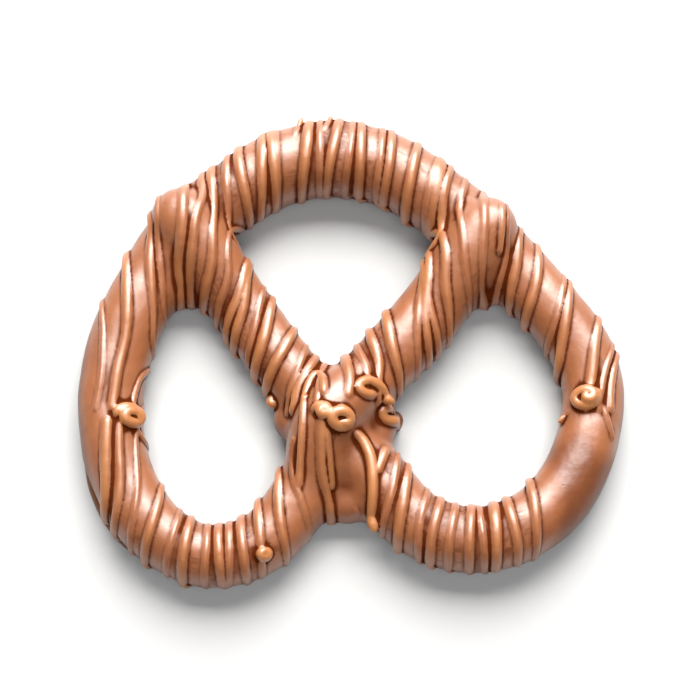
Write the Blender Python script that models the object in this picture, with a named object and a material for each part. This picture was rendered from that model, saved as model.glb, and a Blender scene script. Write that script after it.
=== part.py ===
"""A chocolate covered pretzel, lying flat.

One rope of dough makes an arch and two lobes, crosses itself in the middle and
lies with its two ends on the arch's shoulders. Milk chocolate coats it all over
and fills its corners. Thin strings of the same chocolate are drizzled over it in
sweeps, which meet in a band of small curls, and some of it ran out into a low ledge
under the left lobe. All of it has set into one solid.

X runs across both lobes and Y from the lobes to the arch. The origin is under
the middle, on the surface that the pretzel lies on. The numbers are millimetres.
"""

import math
import random

import bmesh
import bpy
import numpy as np
from mathutils import Matrix, Vector
from mathutils.bvhtree import BVHTree

MM = 0.001

# Plan of the rope's centreline: two lobes and the arch, as ellipses
LEFT_LOBE_CENTRE = (-14.2, -6.8)
LEFT_LOBE_RADII = (11.7, 16.9)
RIGHT_LOBE_CENTRE = (13.4, -6.5)
RIGHT_LOBE_RADII = (12.95, 15.4)
LOBE_TURN = (-150, 22)
ARCH_CENTRE = (-1.8, 4.7)
ARCH_RADII = (16.3, 16.5)
ARCH_TURN = (50, 130)
ARC_POINTS = 6
LEFT_SHOULDER = (-19.0, 11.8)
RIGHT_SHOULDER = (15.2, 12.0)
CROSSING = (-2.1, -9.0)
LEFT_STRAND_MIDDLE = (-11.2, 3.2)
RIGHT_STRAND_MIDDLE = (7.5, 1.6)
LEFT_END = (-18.2, 13.3)
RIGHT_END = (15.1, 12.3)

# Radius of the coated rope at shares of its length: thin lobes, stout arch and ends
RADIUS_ALONG = (
    (0.0, 3.6),
    (0.06, 3.35),
    (0.22, 3.6),
    (0.32, 3.4),
    (0.42, 3.6),
    (0.5, 4.3),
    (0.6, 3.7),
    (0.68, 3.6),
    (0.78, 3.35),
    (0.88, 3.4),
    (0.94, 3.7),
    (1.0, 3.55),
)

# How the rope is stacked, and how full the lower half of its section is
FLAT_UNDER_ROPE = 0.4
CROSSING_LIFT = 3.1
CROSSING_REACH = 8.5
END_LIFT = 2.7
END_REACH = 12.0
LOWER_HALF_FULLNESS = 0.72

# Chocolate that fills the corners, most of all below the crossing and the shoulders
CORNER_FILL = 1.2
WEBS = (
    ((-0.9, -12.5), (-0.2, -17.6)),
    ((0.0, -9.6), (3.0, -9.0)),
    ((-4.0, -9.2), (-6.0, -8.5)),
    ((-18.4, 10.5), (-18.0, 6.6)),
    ((14.9, 10.8), (14.5, 6.6)),
)
WEB_HEIGHT = 2.4
WEB_RADIUS = 2.4

# How finely the rope is swept, melted together and handed on
STATION_STEP = 0.8
RING_SIDES = 24
CAP_ANGLES = (25, 50, 72)
CURVE_STEPS = 24
COAT_VOXEL = 0.5
COAT_PASSES = 6
STRING_VOXEL = 0.2
STRING_PASSES = 2
TRIANGLES = 11400
SNAP_TO_BASE = 0.06

# Sweeps of the drizzle, which meet along the band: x and y from and to, lean and seed
BAND_Y = -8.8
FIELD_Y = 30.0
SWEEPS = (
    (-29.4, -12.8, BAND_Y, FIELD_Y, 0.08, 66927),
    (-12.6, 8.2, BAND_Y, FIELD_Y, 0.08, 328536),
    (8.4, 28.6, BAND_Y, FIELD_Y, 0.08, 14773),
    (-25.4, -1.4, -FIELD_Y, BAND_Y, 0.02, 5611),
    (2.0, 20.4, -FIELD_Y, BAND_Y, 0.02, 143226),
)

# The strings of a sweep: every other one is often thinner, and all flowed to their left
STRING_RADIUS = 0.6
STRING_PROUD = 0.05
STRING_SIDES = 6
SIDE_FLOW = 0.9
STRING_PITCH = 1.86
PITCH_SPREAD = 0.36
THICKNESS_SPREAD = 0.12
THIN_STRING = 0.66
THIN_SHARE = 0.8
LEAN_SPREAD = 0.04
STRING_SWAY = 0.35
SWAY_LENGTH = 21.0

# Strings slid down the sides of the slanting strands, but not on the shoulders
SLIDE = 1.9
SLANT_SHARE = 2.5
SHOULDER_REACH = 11.0
STEEPEST_TOP = 0.5
FLATTEST_RIM = 0.75
TRACE_STEP = 0.4
TOP_STEP = 2.4
TAIL_ANGLES = (40, 75, 108)
TAIL_RADIUS = 3.4
TAIL_TAPER = 0.7
LOWEST_TAIL = 1.2
SHORTEST_STRING = 1.6
BARE_PATCH = (0.8, -15.6)
BARE_PATCH_RADII = (2.0, 5.2)

# Small curls where the nozzle turned back: x, y, curl radius
CURLS = (
    (-23.4, -8.6, 1.4),
    (-8.2, -6.6, 0.6),
    (-2.7, -9.3, 0.7),
    (-0.8, -10.0, 0.9),
    (2.1, -6.2, 1.1),
    (4.2, -8.2, 1.0),
    (25.4, -6.9, 1.2),
    (-8.9, -23.9, 0.6),
)
CURL_POINTS = 9
CURL_TURN = 0.88

# Ledge that ran out under the left lobe: turn, then how far out of the rope's middle and radius
LEDGE_TURN = (172, 256)
LEDGE_LINES = ((2.6, 0.9), (3.3, 0.75))
LEDGE_LEVEL = 0.1
LEDGE_STEP = 3

CHOCOLATE = (0.314, 0.126, 0.063, 1.0)
CHOCOLATE_ROUGHNESS = 0.38


def clear_scene():
    for item in list(bpy.data.objects):
        bpy.data.objects.remove(item, do_unlink=True)


def ellipse_arc(centre, radii, turn):
    """Points along an ellipse, between two angles in degrees."""
    angles = np.radians(np.linspace(*turn, ARC_POINTS))
    return np.array(centre) + np.array(radii) * np.stack([np.cos(angles), np.sin(angles)], 1)


def rope_plan():
    """Points that the rope passes, from its left end to its right end."""
    left_turn = (180 - LOBE_TURN[1], 180 - LOBE_TURN[0])
    return np.vstack(
        [
            [LEFT_END, LEFT_STRAND_MIDDLE, CROSSING],
            ellipse_arc(RIGHT_LOBE_CENTRE, RIGHT_LOBE_RADII, LOBE_TURN),
            [RIGHT_SHOULDER],
            ellipse_arc(ARCH_CENTRE, ARCH_RADII, ARCH_TURN),
            [LEFT_SHOULDER],
            ellipse_arc(LEFT_LOBE_CENTRE, LEFT_LOBE_RADII, left_turn),
            [CROSSING, RIGHT_STRAND_MIDDLE, RIGHT_END],
        ]
    )


def smooth_curve(points):
    """A Catmull-Rom curve through the points in even steps, and how far along each step is."""
    padded = np.vstack([2 * points[0] - points[1], points, 2 * points[-1] - points[-2]])
    fine = []
    for a, b, c, d in zip(padded, padded[1:], padded[2:], padded[3:]):
        for t in np.linspace(0, 1, CURVE_STEPS, endpoint=False):
            even = 2 * b + (2 * a - 5 * b + 4 * c - d) * t**2
            odd = (c - a) * t + (3 * b - a - 3 * c + d) * t**3
            fine.append((even + odd) / 2)
    fine = np.array(fine + [points[-1]])
    run = np.concatenate([[0], np.cumsum(np.linalg.norm(np.diff(fine, axis=0), axis=1))])
    marks = np.linspace(0, run[-1], round(run[-1] / STATION_STEP) + 1)
    return np.stack([np.interp(marks, run, axis) for axis in fine.T], 1), marks


def bump(distance, reach):
    """1 at no distance, falling smoothly to 0 at reach."""
    t = np.clip(1 - np.abs(distance) / reach, 0, 1)
    return t * t * (3 - 2 * t)


def rope_stations():
    """The rope's centreline: x, y, height and radius of the coat at every step."""
    plan, run = smooth_curve(rope_plan())
    length = run[-1]
    near_crossing = bump(np.linalg.norm(plan - np.array(CROSSING), axis=1), CROSSING_REACH)
    second_pass = run > length / 2
    near_end = np.maximum(bump(run, END_REACH), bump(run - length, END_REACH))
    shares, radii = zip(*RADIUS_ALONG)
    radius = np.interp(run / length, shares, radii)
    lift = CROSSING_LIFT * near_crossing * second_pass + END_LIFT * near_end
    height = radius - FLAT_UNDER_ROPE + lift
    return np.column_stack([plan, height, radius])


def web_stations(web):
    """A short stretch of chocolate that fills the corner between two strands."""
    plan, _ = smooth_curve(np.array(web))
    count = len(plan)
    return np.column_stack([plan, np.full(count, WEB_HEIGHT), np.full(count, WEB_RADIUS)])


def section(station, heading, thickness):
    """A section of the rope: round above its middle, and fuller below it."""
    ring = []
    for k in range(RING_SIDES):
        angle = 2 * math.pi * k / RING_SIDES
        across, up = math.cos(angle), math.sin(angle)
        if up < 0:
            across = math.copysign(abs(across) ** LOWER_HALF_FULLNESS, across)
        offset = (heading[1] * across, -heading[0] * across, up)
        ring.append(Vector(station[:3]) + Vector(offset) * thickness)
    return ring


def skin_rings(shape, rings):
    """Adds a closed tube that passes through a row of rings."""
    loops = [[shape.verts.new(corner * MM) for corner in ring] for ring in rings]
    sides = len(loops[0])
    for loop, following in zip(loops, loops[1:]):
        for k in range(sides):
            n = (k + 1) % sides
            shape.faces.new((loop[k], loop[n], following[n], following[k]))
    shape.faces.new(loops[0])
    shape.faces.new(loops[-1])


def round_end(station, heading, outward):
    """Rings that round off the end of a tube."""
    reach = station[3] + CORNER_FILL
    rings = []
    for degrees in CAP_ANGLES:
        beyond = reach * math.sin(math.radians(degrees)) * outward
        place = (station[0] + heading[0] * beyond, station[1] + heading[1] * beyond, station[2])
        rings.append(section(place, heading, reach * math.cos(math.radians(degrees))))
    return rings


def skin_stations(shape, stations):
    """Adds a tube with round ends along the stations, too thick by CORNER_FILL."""
    headings = np.gradient(stations[:, :2], axis=0)
    headings /= np.linalg.norm(headings, axis=1)[:, None]
    first = round_end(stations[0], headings[0], -1)
    last = round_end(stations[-1], headings[-1], 1)
    middle = [section(s, h, s[3] + CORNER_FILL) for s, h in zip(stations, headings)]
    skin_rings(shape, first[::-1] + middle + last)


def finished_mesh(shape, name):
    bmesh.ops.recalc_face_normals(shape, faces=shape.faces)
    mesh = bpy.data.meshes.new(name)
    shape.to_mesh(mesh)
    shape.free()
    return mesh


def apply_modifiers(item):
    graph = bpy.context.evaluated_depsgraph_get()
    mesh = bpy.data.meshes.new_from_object(item.evaluated_get(graph))
    item.modifiers.clear()
    item.data = mesh


def melt(item, voxel):
    """Melts everything that overlaps into one skin."""
    skin = item.modifiers.new("skin", "REMESH")
    skin.mode = "VOXEL"
    skin.voxel_size = voxel * MM


def soften(item, passes):
    settle = item.modifiers.new("settle", "SMOOTH")
    settle.factor = 0.5
    settle.iterations = passes


def make_coated_rope():
    """The coated rope: swept too thick, melted, then shrunk, which leaves its corners full."""
    shape = bmesh.new()
    skin_stations(shape, rope_stations())
    for web in WEBS:
        skin_stations(shape, web_stations(web))
    item = bpy.data.objects.new("pretzel", finished_mesh(shape, "pretzel"))
    bpy.context.scene.collection.objects.link(item)
    melt(item, COAT_VOXEL)
    shrink = item.modifiers.new("shrink", "DISPLACE")
    shrink.direction = "NORMAL"
    shrink.mid_level = 0.0
    shrink.strength = -CORNER_FILL * MM
    melt(item, COAT_VOXEL)
    soften(item, COAT_PASSES)
    apply_modifiers(item)
    return item


class Surface:
    """The coated rope as something to lay strings on, in millimetres."""

    def __init__(self, item):
        points = [vertex.co / MM for vertex in item.data.vertices]
        self.tree = BVHTree.FromPolygons(points, [list(p.vertices) for p in item.data.polygons])

    def top(self, x, y):
        """(point, normal) of the top at a place in plan, or None over a hole."""
        place, normal, _, _ = self.tree.ray_cast(Vector((x, y, 40)), Vector((0, 0, -1)))
        return None if place is None else (place, normal)

    def onto(self, point):
        """(point, normal) of the surface nearest to a point."""
        place, normal, _, _ = self.tree.find_nearest(point)
        return place, normal


def is_bare(x, y):
    across = (x - BARE_PATCH[0]) / BARE_PATCH_RADII[0]
    along = (y - BARE_PATCH[1]) / BARE_PATCH_RADII[1]
    return across * across + along * along < 1


def away_from_shoulders(x, y):
    """0 on the shoulders, where strings lie straight, rising to 1 on the single strands."""
    nearest = min(math.dist((x, y), LEFT_SHOULDER), math.dist((x, y), RIGHT_SHOULDER))
    return 1 - bump(nearest, SHOULDER_REACH)


def string_columns(first_x, last_x, lean, draw):
    """Each string of one sweep: its x at the band, lean, start of its sway and radius."""
    columns = []
    x = first_x
    thin = False
    while x < last_x:
        spread = draw.uniform(-THICKNESS_SPREAD, THICKNESS_SPREAD)
        thickness = STRING_RADIUS * (1 + spread) * (THIN_STRING if thin else 1)
        tilt = lean + draw.uniform(-LEAN_SPREAD, LEAN_SPREAD)
        columns.append((x, tilt, draw.uniform(0, 2 * math.pi), thickness))
        thin = not thin and draw.random() < THIN_SHARE
        x += STRING_PITCH * (1 + draw.uniform(-PITCH_SPREAD, PITCH_SPREAD))
    return columns


def string_runs(surface, column, low_y, high_y):
    """The stretches of a string that land on the pretzel, as points and normals."""
    start, lean, phase, _ = column
    runs, run = [], []
    for y in np.arange(low_y, high_y, TRACE_STEP):
        sway = STRING_SWAY * math.sin(2 * math.pi * y / SWAY_LENGTH + phase)
        x = start + lean * (y - BAND_Y) + sway
        found = None if is_bare(x, y) else surface.top(x, y)
        if found and found[1].z > STEEPEST_TOP:
            slanting = min(1.0, SLANT_SHARE * abs(found[1].y)) * away_from_shoulders(x, y)
            found = surface.top(x + SLIDE * found[1].x * slanting, y)
        if found and found[1].z > STEEPEST_TOP:
            run.append(found)
        elif run:
            runs.append(run)
            run = []
    if run:
        runs.append(run)
    return [r for r in runs if (r[-1][0] - r[0][0]).length > SHORTEST_STRING]


def string_tail(surface, rim, heading):
    """Where a string runs off the top it hangs down the side, square to the rope."""
    point, normal = rim
    if normal.z > FLATTEST_RIM:
        return []
    outward = Vector((normal.x, normal.y, 0))
    if outward.dot(heading) <= 0:
        outward = heading.copy()
    outward.normalize()
    tail = []
    for degrees in TAIL_ANGLES:
        turn = math.radians(degrees)
        lean = outward * math.sin(turn) + Vector((0, 0, math.cos(turn)))
        guess = point + (lean - normal) * TAIL_RADIUS
        if guess.z > LOWEST_TAIL and lean.z < normal.z:
            tail.append(surface.onto(guess))
    return tail


def string_path(surface, run):
    """A run thinned to a few stations, with a tail at each end."""
    count = max(2, round((run[-1][0] - run[0][0]).length / TOP_STEP) + 1)
    top = [run[round(i)] for i in np.linspace(0, len(run) - 1, count)]
    front = string_tail(surface, run[0], Vector((0, -1, 0)))
    back = string_tail(surface, run[-1], Vector((0, 1, 0)))
    return front[::-1] + top + back


def curl_path(surface, curl):
    """Most of a turn round a small circle on the top of the pretzel."""
    x, y, radius = curl
    angles = np.linspace(0, 2 * math.pi * CURL_TURN, CURL_POINTS)
    places = [surface.top(x + radius * math.cos(a), y + radius * math.sin(a)) for a in angles]
    return [place for place in places if place]


def ledge_path(reach):
    """Points and normals low along the outside of the left lobe."""
    radii = [r + reach for r in LEFT_LOBE_RADII]
    plan, _ = smooth_curve(ellipse_arc(LEFT_LOBE_CENTRE, radii, LEDGE_TURN))
    return [(Vector((x, y, LEDGE_LEVEL)), Vector((0, 0, 1))) for x, y in plan[::LEDGE_STEP]]


def string_object(path, thickness, side_flow):
    """A thin tube along the path, half sunk in the coat, and thinner at its ends."""
    centres = [point + normal * STRING_PROUD for point, normal in path]
    last = len(path) - 1
    rings = []
    for i, (centre, (_, normal)) in enumerate(zip(centres, path)):
        ahead = centres[min(i + 1, last)] - centres[max(i - 1, 0)]
        sideways = ahead.cross(normal).normalized()
        reach = thickness * (TAIL_TAPER if i in (0, last) else 1)
        ring = []
        for k in range(STRING_SIDES):
            turn = 2 * math.pi * (k + 0.5) / STRING_SIDES
            across = math.cos(turn) * (1 + side_flow if math.cos(turn) < 0 else 1)
            ring.append(centre + (sideways * across + normal * math.sin(turn)) * reach)
        rings.append(ring)
    shape = bmesh.new()
    skin_rings(shape, rings)
    return bpy.data.objects.new("string", finished_mesh(shape, "string"))


def make_strings(coated_rope):
    """Every drizzled string and curl, and the ledge, in a collection of its own."""
    strings = bpy.data.collections.new("strings")
    bpy.context.scene.collection.children.link(strings)
    surface = Surface(coated_rope)
    for first_x, last_x, low_y, high_y, lean, seed in SWEEPS:
        for column in string_columns(first_x, last_x, lean, random.Random(seed)):
            for run in string_runs(surface, column, low_y, high_y):
                path = string_path(surface, run)
                strings.objects.link(string_object(path, column[-1], SIDE_FLOW))
    for curl in CURLS:
        strings.objects.link(string_object(curl_path(surface, curl), STRING_RADIUS, 0))
    for reach, radius in LEDGE_LINES:
        strings.objects.link(string_object(ledge_path(reach), radius, 0))
    return strings


def fuse(item, strings):
    """Joins the strings to the coat, and removes the loose copies."""
    union = item.modifiers.new("fuse", "BOOLEAN")
    union.operation = "UNION"
    union.operand_type = "COLLECTION"
    union.collection = strings
    union.solver = "EXACT"
    melt(item, STRING_VOXEL)
    soften(item, STRING_PASSES)
    apply_modifiers(item)
    for string in list(strings.objects):
        bpy.data.objects.remove(string, do_unlink=True)
    bpy.data.collections.remove(strings)


def thin_out(item):
    """Keeps as few triangles as still show every string."""
    item.data.calc_loop_triangles()
    fewer = item.modifiers.new("fewer", "DECIMATE")
    fewer.ratio = TRIANGLES / len(item.data.loop_triangles)
    apply_modifiers(item)


def drop_scraps(shape):
    """Removes every loose shell but the largest."""
    shells, seen = [], set()
    for start in shape.faces:
        if start in seen:
            continue
        shell, waiting = [], [start]
        seen.add(start)
        while waiting:
            face = waiting.pop()
            shell.append(face)
            beside = {other for edge in face.edges for other in edge.link_faces} - seen
            seen |= beside
            waiting.extend(beside)
        shells.append(shell)
    shells.sort(key=len)
    for shell in shells[:-1]:
        bmesh.ops.delete(shape, geom=shell, context="FACES")


def cut_flat_base(item):
    """Cuts the solid off level with the surface that it lies on."""
    shape = bmesh.new()
    shape.from_mesh(item.data)
    drop_scraps(shape)
    bmesh.ops.bisect_plane(
        shape,
        geom=list(shape.verts) + list(shape.edges) + list(shape.faces),
        dist=SNAP_TO_BASE * MM,
        plane_co=(0, 0, 0),
        plane_no=(0, 0, -1),
        use_snap_center=True,
        clear_outer=True,
    )
    rims = [edge for edge in shape.edges if edge.is_boundary]
    bmesh.ops.triangle_fill(shape, edges=rims, use_beauty=True)
    item.data = finished_mesh(shape, "pretzel")


def centre_on_origin(item):
    corners = [Vector(corner) for corner in item.bound_box]
    middle = (corners[0] + corners[6]) / 2
    item.data.transform(Matrix.Translation((-middle.x, -middle.y, 0)))


def paint(item):
    chocolate = bpy.data.materials.new("milk_chocolate")
    chocolate.use_nodes = True
    shader = chocolate.node_tree.nodes["Principled BSDF"]
    shader.inputs["Base Color"].default_value = CHOCOLATE
    shader.inputs["Roughness"].default_value = CHOCOLATE_ROUGHNESS
    shader.inputs["Metallic"].default_value = 0.0
    item.data.materials.clear()
    item.data.materials.append(chocolate)
    item.data.shade_smooth()


def main():
    clear_scene()
    pretzel = make_coated_rope()
    fuse(pretzel, make_strings(pretzel))
    thin_out(pretzel)
    cut_flat_base(pretzel)
    centre_on_origin(pretzel)
    paint(pretzel)


main()
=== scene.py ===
"""A chocolate covered pretzel with its drizzled strings, its chocolate and its studio.

The coated rope is swept along its centreline and melted together. Strings are laid
over it in five sweeps, run down its sides and melt into the coat. Sizes of the pretzel
are millimetres, and the factor MM makes them metres for Blender.
"""

import math
import random

import bpy
import numpy as np
from bpy.props import FloatProperty, FloatVectorProperty, IntProperty, PointerProperty
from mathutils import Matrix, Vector
from mathutils.bvhtree import BVHTree


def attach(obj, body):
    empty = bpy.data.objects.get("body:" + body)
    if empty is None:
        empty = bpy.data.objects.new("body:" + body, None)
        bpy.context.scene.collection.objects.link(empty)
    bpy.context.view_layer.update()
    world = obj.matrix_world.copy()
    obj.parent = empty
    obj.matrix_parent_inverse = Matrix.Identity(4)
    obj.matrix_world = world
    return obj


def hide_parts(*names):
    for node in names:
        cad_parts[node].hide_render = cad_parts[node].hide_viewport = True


bl_info = {
    "name": "Chocolate covered pretzel",
    "version": (1, 0, 0),
    "blender": (4, 5, 0),
    "location": "3D View > Sidebar > Pretzel",
    "description": "Makes a drizzled chocolate covered pretzel and the studio it is shown in",
    "category": "Object",
}

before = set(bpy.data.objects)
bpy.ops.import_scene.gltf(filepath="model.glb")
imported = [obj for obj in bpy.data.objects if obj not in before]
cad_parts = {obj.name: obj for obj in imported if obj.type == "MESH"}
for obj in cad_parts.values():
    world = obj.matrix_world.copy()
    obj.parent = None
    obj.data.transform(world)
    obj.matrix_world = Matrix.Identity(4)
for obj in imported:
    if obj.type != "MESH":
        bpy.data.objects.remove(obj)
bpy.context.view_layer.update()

MM = 0.001
BODY = "root"
NODE = "pretzel"
CHOCOLATE = "set_milk_chocolate"
DOWN = Vector((0, 0, -1))

# Plan of the rope's centreline: two lobes and the arch, as ellipses
LEFT_LOBE_CENTRE = (-14.2, -6.8)
LEFT_LOBE_RADII = (11.7, 16.9)
RIGHT_LOBE_CENTRE = (13.4, -6.5)
RIGHT_LOBE_RADII = (12.95, 15.4)
LOBE_TURN = (-150, 22)
ARCH_CENTRE = (-1.8, 4.7)
ARCH_RADII = (16.3, 16.5)
ARCH_TURN = (50, 130)
ARC_POINTS = 6
LEFT_SHOULDER = (-19.0, 11.8)
RIGHT_SHOULDER = (15.2, 12.0)
CROSSING = (-2.1, -9.0)
LEFT_STRAND_MIDDLE = (-11.2, 3.2)
RIGHT_STRAND_MIDDLE = (7.5, 1.6)
LEFT_END = (-18.2, 13.3)
RIGHT_END = (15.1, 12.3)

# Middle of the whole pretzel in plan, which is moved to the frame's origin
PLAN_MIDDLE = (0.13, -0.75)

# Radius of the coated rope at shares of its length: thin lobes, stout arch and ends
RADIUS_ALONG = (
    (0.0, 3.6),
    (0.06, 3.35),
    (0.22, 3.6),
    (0.32, 3.4),
    (0.42, 3.6),
    (0.5, 4.3),
    (0.6, 3.7),
    (0.68, 3.6),
    (0.78, 3.35),
    (0.88, 3.4),
    (0.94, 3.7),
    (1.0, 3.55),
)

# Chocolate that fills the corners, each from one place in plan to another
WEBS = (
    ((-0.9, -12.5), (-0.2, -17.6)),
    ((0.0, -9.6), (3.0, -9.0)),
    ((-4.0, -9.2), (-6.0, -8.5)),
    ((-18.4, 10.5), (-18.0, 6.6)),
    ((14.9, 10.8), (14.5, 6.6)),
)
WEB_HEIGHT = 2.4
WEB_RADIUS = 2.4

# How far the climbs over the crossing and onto the shoulders reach
CROSSING_REACH = 8.5
END_REACH = 12.0

# Sweeps of the drizzle, which meet along the band: x and y from and to, lean and seed
BAND_Y = -8.8
FIELD_Y = 30.0
SWEEPS = (
    (-29.4, -12.8, BAND_Y, FIELD_Y, 0.08, 66927),
    (-12.6, 8.2, BAND_Y, FIELD_Y, 0.08, 328536),
    (8.4, 28.6, BAND_Y, FIELD_Y, 0.08, 14773),
    (-25.4, -1.4, -FIELD_Y, BAND_Y, 0.02, 5611),
    (2.0, 20.4, -FIELD_Y, BAND_Y, 0.02, 143226),
)

# How one string differs from the next
LEAN_SPREAD = 0.04
THICKNESS_SPREAD = 0.12
THIN_STRING = 0.66
THIN_SHARE = 0.8

# How a string lands on the coat: slides, sinks and bridges grooves
SEARCH_HEIGHT = 40.0
TRACE_STEP = 0.25
STEEPEST_TOP = 0.5
SHORTEST_STRING = 1.2
SWAY_LENGTH = 21.0
SLANT_SHARE = 1.5
EVEN_STEPS = 13
FLATTEST_SLOPE = 0.02
SHOULDER_REACH = 11.0
SHOULDER_SUNK = 0.16
BRIDGE_STEPS = 3
TAPER_LENGTH = 1.4
THINNEST_END = 0.02

# How a string's tail hangs down the side
FLATTEST_RIM = 0.8
HEADING_STEPS = 2
TAIL_LEVELS = (0.7, 2.4)
TAIL_STEP = 0.3
LONGEST_TAIL = 24
HANG_SHARE = 0.14
LOWEST_OVERHANG = -0.45
TAIL_SEED = 12

# Places below the crossing and beside it that no sweep reached: x, y and radii in plan
BARE_PATCHES = (
    (0.8, -15.6, 2.0, 5.2),
    (1.6, -10.9, 2.6, 3.6),
    (-7.2, -10.6, 1.6, 1.8),
)

# Small curls where the nozzle turned: x, y, radius, start angle, turns, share that closes
CURLS = (
    (-23.3, -9.0, 1.35, 200, 1.7, 0.75),
    (-8.2, -6.6, 0.6, 90, 1.2, 0.9),
    (-2.7, -9.3, 0.8, 200, 1.6, 0.9),
    (-0.8, -10.0, 1.2, 120, 1.7, 0.5),
    (25.5, -6.9, 1.45, 60, 1.9, 0.9),
    (-8.9, -23.9, 0.6, 90, 1.3, 0.9),
)
CURL_STEPS = 26
CURL_RISE = 0.45
CURL_DRIFT = 0.6
CURL_OVAL = 0.8
CURL_THICKNESS = 1.35

# The joined swirl right of the crossing, as two hooks
UPPER_HOOK = (
    (3.0, -6.8), (1.7, -7.0), (1.0, -6.3), (2.0, -5.5),
    (3.4, -6.0), (4.0, -7.0), (5.0, -7.5),
)
LOWER_HOOK = (
    (4.5, -7.0), (5.4, -7.8), (5.0, -8.9), (3.9, -8.9),
    (3.5, -8.1), (4.3, -7.7), (4.6, -8.3),
)

# Single strings, first those at the crossing and the shoulder, then short strays and tips:
# thickness against a usual string, and the places that each passes in plan
STRAYS = (
    (1.0, ((-5.3, -17.2), (-4.9, -11.4), (-4.6, -6.8), (-3.6, -4.4), (-2.7, -5.3), (-2.6, -7.6))),
    (0.9, ((-2.6, -10.2), (-2.2, -12.6), (-1.8, -17.0))),
    (1.35, ((0.4, -10.8), (1.6, -12.0), (2.4, -14.0), (2.6, -17.0), (2.5, -20.0), (2.8, -21.5))),
    (1.3, UPPER_HOOK),
    (1.3, LOWER_HOOK),
    (0.85, ((16.7, 14.8), (16.6, 11.5), (16.3, 8.6))),
    (0.66, ((24.1, -7.9), (22.5, -9.4))),
    (0.66, ((27.1, -7.3), (28.4, -11.6))),
    (0.66, ((-2.6, -18.0), (-2.2, -19.2))),
    (0.66, ((0.6, -18.2), (0.9, -19.4))),
    (0.66, ((-6.2, 22.2), (-5.2, 25.3))),
    (0.66, ((-3.0, 22.6), (-1.9, 25.6))),
)
STRAY_SINK = 0.08
STRAY_ROOT = 0.25
STRAY_ROOT_LENGTH = 1.5

# Ledge that ran out under the left lobe: how far from the rope's middle, and radius
LEDGE_TURN = (172, 256)
LEDGE_LINES = ((2.6, 0.9), (3.3, 0.75))
LEDGE_LEVEL = 0.1

# How finely the shapes are swept, melted together and handed on
STATION_STEP = 0.6
CURVE_STEPS = 24
CAP_ANGLES = (20, 40, 58, 73, 84)
SECTION_SIDES = 40
STRING_SIDES = 14
COAT_VOXEL = 0.3
COAT_PASSES = 16
FINE_VOXEL = 0.13
FINE_PASSES = 4
SOFTEN_SHARE = 0.5
FINE_TRIANGLES = 196000
MERGE_DISTANCE = 0.004 * MM
FEWEST_POINTS = 500

# How uneven the coat and the strings are
LUMP_SEED = 3.0
FOOT_WAVES = 2.2
FOOT_CURVE = 2.0
FLOW_DROOP = 0.3
BEADING_LENGTH = 3.5 * MM
BEADING_SEED = 12.0

# How widely the surface is evened out to find its hollows
CREASE_PASSES = 12
HOLLOW_PASSES = 2

# Clouds in the coat's colour
CLOUDS = {"Size": 5.0 * MM, "Amount": 0.6}
CLOUD_SHADE = (0.84, 0.78, 0.74, 1.0)
CLOUD_EDGES = (0.36, 0.66)

# Grain, pin holes and ripple, the last two at shares of the grain's scale
GRAIN = {"Size": 0.35 * MM, "Pin holes": 0.8, "Ripple": 4.0}
GRAIN_DEPTH = 0.12 * MM
GRAIN_DULLING = 0.22
PIN_HOLE_SCALE = 0.22
PIN_HOLE_EDGES = (0.05, 0.12)
RIPPLE_SCALE = 0.24

# Where colour and gloss start and end their changes, and how far each change goes
# The strings' raised tops turn lighter and warmer: partly the strings' own tone, partly a painted
# highlight
STRING_TONE_AND_HIGHLIGHT_EDGES = (0.12 * MM, 0.5 * MM)
# Painted shade down in the creases, where the surface is hollow
CREASE_SHADE_EDGES = (0.001 * MM, 0.033 * MM)
UNDER_EDGES = (0.12 * MM, 0.03 * MM)
# Painted shade near the foot, darkest where the chocolate meets the floor
FOOT_SHADE_EDGES = (4.6 * MM, 0.0)
FOOT_SHADE_AMOUNTS = (0.0, 0.66)
# Bare coat far from the strings turns darker
FAR_EDGES = (1.2 * MM, 3.6 * MM)
FAR_AMOUNTS = (0.0, 0.56)
GLOSS_EDGES = (0.4 * MM, 2.4 * MM)
GLOSS_AMOUNTS = (1.0, 0.12)

# How much rougher creases and the underside are, and the specular level outside creases, which
# falls to nothing inside them as painted shade of reflections
DULLING = 0.3
OPEN_SPECULAR = 0.6

# What is the same all over the chocolate
CHOCOLATE_VALUES = {
    "Coat Roughness": 0.4,
    "Subsurface Weight": 0.1,
    "Subsurface Radius": (1.0, 0.38, 0.16),
    "Subsurface Scale": 1.1 * MM,
    "IOR": 1.46,
}

# Studio, in metres
FLOOR_REACH = 1.5
FLOOR_ROUGHNESS = 0.6
TARGET = (0.0, 0.0, 0.003)
NEAREST_SEEN = 0.01
KEY_PLACE = (0.02, 0.32, 0.34)
KEY_SIZE = 0.42
KEY_COLOUR = (1.0, 0.985, 0.965)
FILL_PLACE = (0.05, -0.25, 0.45)
FILL_SIZE = 0.4
FILL_COLOUR = (0.97, 0.98, 1.0)
WHITE = (1.0, 1.0, 1.0, 1.0)


def length_setting(name, description, default):
    """A length that a user can change, in metres."""
    return FloatProperty(name=name, description=description, default=default, unit="LENGTH")


def number_setting(name, description, default, low=0.0, high=1000.0):
    """A number that a user can change between two limits."""
    return FloatProperty(name=name, description=description, default=default, min=low, max=high)


def colour_setting(name, description, default):
    """A colour that a user can change."""
    opaque = (*default, 1.0)
    return FloatVectorProperty(
        name=name, description=description, default=opaque, subtype="COLOR", size=4
    )


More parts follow.
